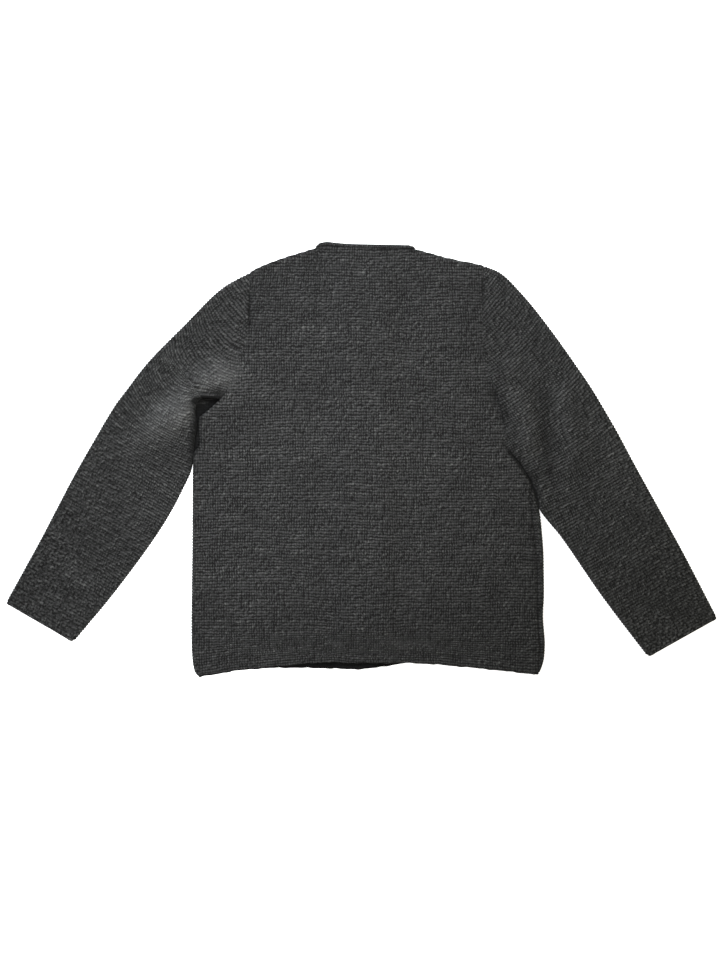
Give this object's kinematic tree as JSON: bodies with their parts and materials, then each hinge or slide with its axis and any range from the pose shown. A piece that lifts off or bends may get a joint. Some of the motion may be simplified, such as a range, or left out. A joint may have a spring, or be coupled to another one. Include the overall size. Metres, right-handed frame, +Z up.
{
  "type": "trachten cardigan",
  "caption": "Knitted wool trachten cardigan laid flat, back uppermost: straight body with a centre-back seam, set-in long sleeves, narrow round neckband and buttoned fronts beneath.",
  "frame": {"origin": "under the middle of the whole garment, on the surface that it lies on", "axes": "+X across the garment towards the wearer's right sleeve, +Y towards the neck, +Z up out of the back"},
  "size_m": [1.1034, 0.6762, 0.0186],
  "materials": {
    "wool_knit": "matt felted wool, ridged knit",
    "wool_band": "matt felted wool, fine rib",
    "horn_button": "satin horn"
  },
  "bodies": {
    "root": {"back_left": "wool_knit", "back_right": "wool_knit", "front_left": "wool_knit", "front_right": "wool_knit", "sleeve_left": "wool_knit", "sleeve_right": "wool_knit", "neckband": "wool_band", "button_1": "horn_button", "button_2": "horn_button", "button_3": "horn_button", "button_4": "horn_button", "button_5": "horn_button", "button_6": "horn_button"}
  },
  "joints": []
}
